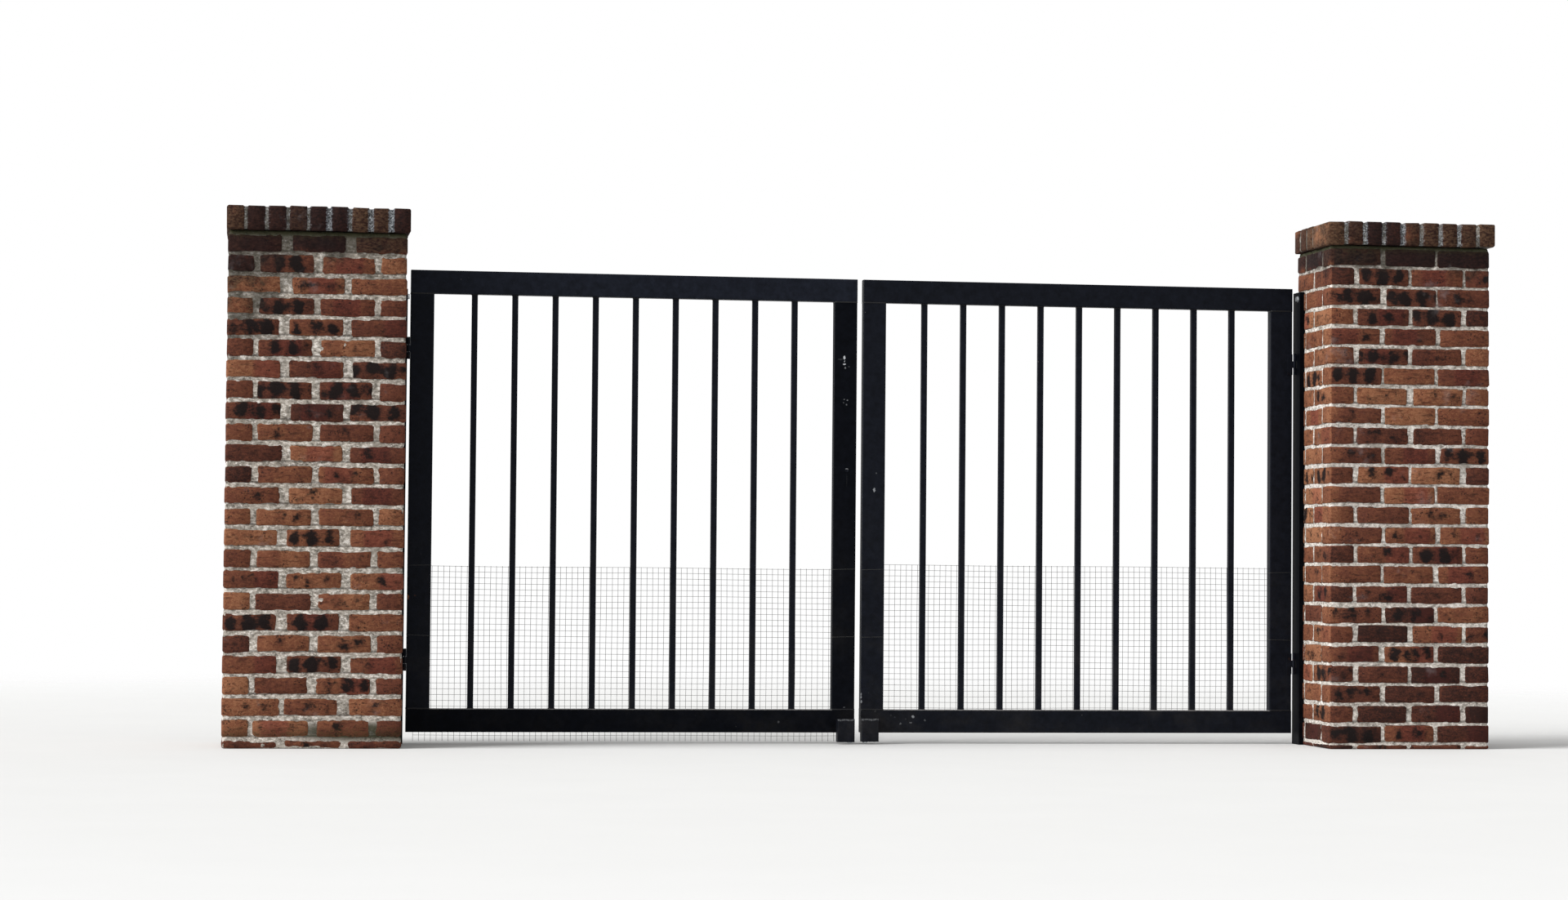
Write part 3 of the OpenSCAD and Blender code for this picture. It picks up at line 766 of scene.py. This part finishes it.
# The coat of each bar. marks are flecks of lost paint: x, z, half the width, half the height, the strength.
rust_brown = (0.330, 0.130, 0.055)
dust_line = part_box("left_bottom_rail")[1][2] - 0.0018
frame_coats = {
    # Painted light: this rail's black is made 1.6 times lighter, standing for the sky's glare on it.
    "left_top_rail": dict(shade=1.6),
    "left_hinge_stile": dict(bare=rust_brown, marks=[
        (-1.9530, 0.6230, 0.0070, 0.0120, 0.60), (-1.9217, 0.6301, 0.0042, 0.0042, 0.10)]),
    "right_hinge_stile": dict(marks=[(1.9476, 1.9311, 0.0042, 0.0042, 0.12)]),
    "left_meeting_stile": dict(gloss=0.03, shade=0.5, marks=[
        (-0.0703, 1.6793, 0.0046, 0.0085, 0.78), (-0.0701, 1.6633, 0.0030, 0.0034, 0.55),
        (-0.0700, 1.6508, 0.0070, 0.0034, 0.70), (-0.0663, 1.6348, 0.0032, 0.0055, 0.22),
        (-0.0880, 1.6718, 0.0120, 0.0036, 0.035), (-0.0501, 1.6405, 0.0036, 0.0045, 0.045),
        (-0.0561, 1.4941, 0.0030, 0.0030, 0.22), (-0.0596, 1.4745, 0.0030, 0.0032, 0.18),
        (-0.0688, 1.4975, 0.0026, 0.0028, 0.18), (-0.0723, 1.4832, 0.0026, 0.0026, 0.10),
        (-0.0557, 1.1450, 0.0022, 0.0300, 0.012), (-0.0595, 0.1580, 0.0060, 0.0026, 0.09)]),
    "right_meeting_stile": dict(marks=[
        (0.0748, 1.1771, 0.0036, 0.0036, 0.10), (0.0663, 1.1039, 0.0050, 0.0100, 0.36),
        (0.0146, 0.2140, 0.0036, 0.0070, 0.24), (0.0142, 0.2009, 0.0036, 0.0060, 0.36),
        (0.0160, 0.1830, 0.0040, 0.0070, 0.28)]),
    "left_bottom_rail": dict(gloss=0.03, shade=0.5, dust_above=dust_line, marks=[
        (-0.3480, 0.0940, 0.0050, 0.0050, 0.07)]),
    "right_bottom_rail": dict(shade=0.9, dust_above=dust_line, marks=[
        (0.2458, 0.1180, 0.0066, 0.0066, 0.34), (0.1899, 0.0877, 0.0048, 0.0046, 0.11),
        (0.2352, 0.0914, 0.0060, 0.0032, 0.13), (0.2985, 0.1021, 0.0048, 0.0044, 0.09),
        (0.2133, 0.1073, 0.0034, 0.0034, 0.03), (0.1644, 0.1161, 0.0034, 0.0034, 0.04),
        (0.1480, 0.1232, 0.0034, 0.0034, 0.03), (0.0774, 0.1408, 0.0040, 0.0036, 0.04)]),
}
coat_nodes(satin_black, "right_top_rail")
for bar, look in frame_coats.items():
    coat_nodes(black_paint(f"{bar}_paint", **look), bar)


# Welds of the frame: a bead runs round each stile where its ends butt on the rails, ground low and painted
# over with the gate.
def even_angles(count):
    """That many even steps round a circle."""
    return np.linspace(0, 2 * math.pi, count, endpoint=False)


def bead_rings(posts, levels, half, corner, wide, tall, steps, round_steps):
    """Rings of weld round posts, given as places on plan: a small oval, wide across and tall up, carried
    round the rounded outline of each post, with its width swelling and shrinking as a wave along the run."""
    spot, way = outline(*half, corner, steps)
    swell = 1 + 0.14 * np.sin(np.arange(steps) * 2.4)[:, None, None]
    angle = even_angles(round_steps)[None, :, None]
    flat = spot[:, None] + way[:, None] * wide * swell * np.cos(angle)
    upward = np.broadcast_to(-tall * swell * np.sin(angle), flat.shape[:2] + (1,))
    one = np.concatenate([flat, upward], -1)
    return np.concatenate([one[None] + np.array([x, y, z]) for x, y in posts for z in levels])


weld = Finish("painted_weld", Specular_IOR_Level=0.20)
ripple = weld.noise(330.0, 2.0, 0.5)
weld_black = weld.ramp(ripple, (0.3, (0.006, 0.006, 0.007)), (0.7, (0.016, 0.016, 0.018)))
painted_weld = weld.finish(weld_black, 0.45, (ripple, 0.0009))
stile_at, clear_at, bead_rise = {}, {}, 0.0005
for side in sides:
    meeting, hinge = (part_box(f"{side}_{which}_stile") for which in ("meeting", "hinge"))
    stile_at[side] = [((low[0] + high[0]) / 2, (low[1] + high[1]) / 2) for low, high in (meeting, hinge)]
    clear_at[side] = (meeting[0][0], hinge[1][0]) if side == "left" else (meeting[1][0], hinge[0][0])
    half = (meeting[1][0] - meeting[0][0]) / 2, (meeting[1][1] - meeting[0][1]) / 2
    levels = meeting[0][2] + bead_rise, meeting[1][2] - bead_rise
    rings = bead_rings(stile_at[side], levels, half, corner=0.005, wide=0.0016, tall=0.0030,
                       steps=60, round_steps=8)
    points, faces = skins(rings, shut=True)
    put_piece(f"{side}_frame_welds", points, faces, painted_weld, f"{side}_leaf", "black_paint")


# Pickets: nine square tubes a leaf, 25 mm across, cut between the rails and welded round both ends.
# They stand at equal distances between the stiles.
coat_nodes(satin_black, "left_pickets", "right_pickets")
picket_half, pickets, fillet_rise = 0.0125, 9, 0.0010
for side in sides:
    low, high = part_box(f"{side}_pickets")
    levels = low[2] + fillet_rise, high[2] - fillet_rise
    posts = [(x, (low[1] + high[1]) / 2) for x in np.linspace(*clear_at[side], pickets + 2)[1:-1]]
    rings = bead_rings(posts, levels, (picket_half, picket_half), corner=0.002, wide=0.0026, tall=0.0026,
                       steps=16, round_steps=5)
    points, faces = skins(rings, shut=True)
    put_piece(f"{side}_picket_welds", points, faces, painted_weld, f"{side}_leaf", "black_paint")


# Moving halves of the hinges: the middle knuckle, and a wing that is welded flat on the front of the stile.
# They turn on the fixed pins and carry the leaf.
coat_nodes(hinge_black, *[f"{hinge}_moving" for hinge in hinges])


# Wire netting behind each leaf: 25 mm squares of welded wire, galvanised and gone dull, upright wires on the
# leaf side. The left panel hangs below its rail, and its cut ends show.
wire = Finish("netting_wire", Metallic=0.6)
tarnish = wire.mix(wire.noise(55.0, 4.0, 0.6), (0.035, 0.034, 0.033), (0.135, 0.130, 0.122))
netting_wire = wire.finish(tarnish, 0.55, (wire.noise(600.0), 0.0002))
half_gauge, square, bow_size, dip_size = 0.0008, 0.025, 0.0016, 0.0014
for side in sides:
    low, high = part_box(f"{side}_mesh")
    angle = even_angles(6)
    round_x, round_y = half_gauge * np.cos(angle), half_gauge * np.sin(angle)

    # Each wire is a circle of points carried along a line that bows or dips as a slow wave.
    wires = round((high[0] - low[0]) / square) + 1
    stand = np.linspace(low[0] + half_gauge, high[0] - half_gauge, wires)[:, None]
    climb = np.linspace(low[2], high[2], 13)
    bow = bow_size * np.sin(climb * 7.3 + stand * 3.1) * rng.uniform(0.2, 1, stand.shape)
    upright_wires = np.stack(np.broadcast_arrays(
        (stand + bow)[..., None] + round_x, low[1] + half_gauge + round_y, climb[:, None]), -1)

    shelf = np.arange(high[2] - half_gauge, low[2], -square)[:, None]
    reach = np.linspace(low[0], high[0], 33)
    dip = dip_size * (np.sin(reach * 5.7 + shelf * 9.0) - (high[2] - shelf < 0.01))
    dip = np.clip(dip, low[2] + half_gauge - shelf, high[2] - half_gauge - shelf)
    level_wires = np.stack(np.broadcast_arrays(
        reach[:, None], high[1] - half_gauge + round_x, (shelf + dip)[..., None] + round_y), -1)

    upright_points, upright_faces = skins(upright_wires)
    level_points, level_faces = skins(level_wires)
    points = np.concatenate([upright_points, level_points])
    faces = upright_faces + [f + len(upright_points) for f in level_faces]
    put_piece(f"{side}_wire_netting", points, faces, netting_wire, f"{side}_leaf", "mesh_wire",
              [f"{side}_mesh"])


# Ties of the netting: thin soft wire passed round the stiles at two heights and twisted off behind.
# Each is a thin ring carried round the stile's outline, with a slope and a slight wave.
tie_half, tie_corner, half_tie = (0.0506, 0.0256), 0.0055, 0.0006
spot, way = outline(*tie_half, tie_corner, 48)
angle = even_angles(5)[None, :, None]
ring = spot[:, None] + way[:, None] * half_tie * np.cos(angle)
for side in sides:
    meeting, hinge = stile_at[side]
    ties = []
    for (x, y), z, slope in ((hinge, 0.7600, 0.02), (hinge, 0.4610, -0.03),
                             (meeting, 0.7580, 0.03), (meeting, 0.4640, 0.02)):
        wave = 0.0008 * np.sin(spot[:, None, 1:] * 90)
        rise = -half_tie * np.sin(angle) + slope * spot[:, None, :1] + wave
        ties.append(np.concatenate([ring, np.broadcast_to(rise, ring.shape[:2] + (1,))], -1) + (x, y, z))
    points, faces = skins(np.array(ties), shut=True)
    put_piece(f"{side}_netting_ties", points, faces, netting_wire, f"{side}_leaf", "mesh_wire")


# Hole plug on the left meeting stile: a small dished cap pressed into a drilled hole, with a pale
# crescent on its upper rim. Its outline, as radius and height over the stile, is turned round its middle.
plug_x, plug_z, plug_steps = -0.0557, 1.1880, 28
stile_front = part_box("left_meeting_stile")[0][1]
turned = np.array([(0.0000, 0.0004), (0.0048, 0.0004), (0.0058, 0.0016), (0.0072, 0.0021), (0.0085, 0.0016),
                   (0.0090, 0.0000), (0.0088, -0.0008)])[::-1, None]
angle = even_angles(plug_steps)
rings = np.stack(np.broadcast_arrays(plug_x + turned[..., 0] * np.cos(angle), stile_front - turned[..., 1],
                                     plug_z + turned[..., 0] * np.sin(angle)), -1)
rings[-1] = rings[-1].mean(0) + (rings[-2] - rings[-2].mean(0)) * 0.02
points, faces = skins(rings[None])
bright_rim = [(plug_x, plug_z + 0.0068, 0.0080, 0.0034, 0.25)]
put_piece("left_stile_plug", points, faces, black_paint("plug_paint", bright_rim), "left_leaf", "black_paint")


# Foot blocks: short lengths of tube welded upright on the front of the bottom rails at the meeting ends,
# with pale spots along their top edges, and a pin through each foot with its nut.
top_spots = 12
for side, start in (("left", 0.3), ("right", 2.1)):
    low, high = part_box(f"{side}_foot_block")
    # Pale spots in a row along the top edge, whose heights and strengths rise and fall as waves.
    wave = np.arange(top_spots)
    across = low[0] + (wave + 0.5) / top_spots * (high[0] - low[0])
    up = high[2] - 0.0040 - 0.0015 * np.sin(wave * 0.9 + start)
    strength = 0.100 + 0.045 * np.sin(wave * 2.1 + start)
    rubbed = [(x, z, 0.0060, 0.0040, much) for x, z, much in np.stack([across, up, strength], -1).tolist()]
    coat_nodes(black_paint(f"{side}_foot_block_paint", rubbed, front=low[1]), f"{side}_foot_block")
coat_nodes(galvanised_steel, "left_foot_pin", "right_foot_pin")


# Floor, light and camera. The floor is plain and pale and fades out round the gate, and the light is soft
# from all round with a broad lamp high in front on the left.
scene = bpy.context.scene
scene.view_settings.view_transform = "Standard"
floor_radius, floor_drop, fade_start, fade_end = 15, 0.0005, 4.5, 11.0
rim = even_angles(96)
disc = np.c_[floor_radius * np.cos(rim), floor_radius * np.sin(rim), np.full(len(rim), -floor_drop)]
pale = bpy.data.meshes.new("floor")
pale.from_pydata(disc.tolist(), [], [list(range(len(rim)))])
floor = bpy.data.objects.new("floor", pale)
scene.collection.objects.link(floor)
ground = Finish("pale_floor", Roughness=0.9, Specular_IOR_Level=0.1)
ground.finish(ground.mix(ground.noise(2.0), (0.74, 0.74, 0.73), (0.77, 0.77, 0.76)), 0.9)
far = ground.level(ground.length(ground.here), fade_start, fade_end)
both = ground.add("MixShader", {0: far, 1: ground.shader.outputs[0], 2: ground.add("BsdfTransparent")})
ground.tree.links.new(both, ground.tree.nodes["Material Output"].inputs[0])
pale.materials.append(ground.made)

# The world is white wherever it is seen, straight or in a reflection, and lights the gate more softly.
world = bpy.data.worlds.new("studio")
world.use_nodes = True
scene.world = world
sky = world.node_tree
ray = sky.nodes.new("ShaderNodeLightPath")
shown = ray.outputs["Is Camera Ray"]
for kind in ("Is Glossy Ray", "Is Transmission Ray"):
    either = sky.nodes.new("ShaderNodeMath")
    either.operation = "MAXIMUM"
    sky.links.new(shown, either.inputs[0])
    sky.links.new(ray.outputs[kind], either.inputs[1])
    shown = either.outputs[0]
strength = sky.nodes.new("ShaderNodeMapRange")
strength.inputs["To Min"].default_value = 0.55
strength.inputs["To Max"].default_value = 1.0
sky.links.new(shown, strength.inputs["Value"])
sky.nodes["Background"].inputs["Color"].default_value = (1, 1, 1, 1)
sky.links.new(strength.outputs[0], sky.nodes["Background"].inputs["Strength"])

lamp = bpy.data.lights.new("soft_lamp", "SUN")
lamp.energy, lamp.angle = 3.9, math.radians(35)
key = bpy.data.objects.new("soft_lamp", lamp)
key.rotation_euler = (math.radians(58), 0, math.radians(-73))
scene.collection.objects.link(key)

# A new camera looks straight down. It is turned about that line by roll, tipped up by a right angle and
# pitch, swung to the right by yaw, and moved to eye.
eye, yaw, pitch, roll = (-2.604, -14.381, 0.744), 0.15453, 0.03584, 0.0086
swung, tipped = Matrix.Rotation(-yaw, 4, "Z"), Matrix.Rotation(math.pi / 2 + pitch, 4, "X")
lens = bpy.data.cameras.new("camera")
lens.sensor_fit, lens.sensor_width, lens.lens = "HORIZONTAL", 36.0, 78.0
lens.clip_end = 200.0
camera = bpy.data.objects.new("camera", lens)
camera.matrix_world = Matrix.Translation(eye) @ swung @ tipped @ Matrix.Rotation(roll, 4, "Z")
scene.collection.objects.link(camera)
scene.camera = camera
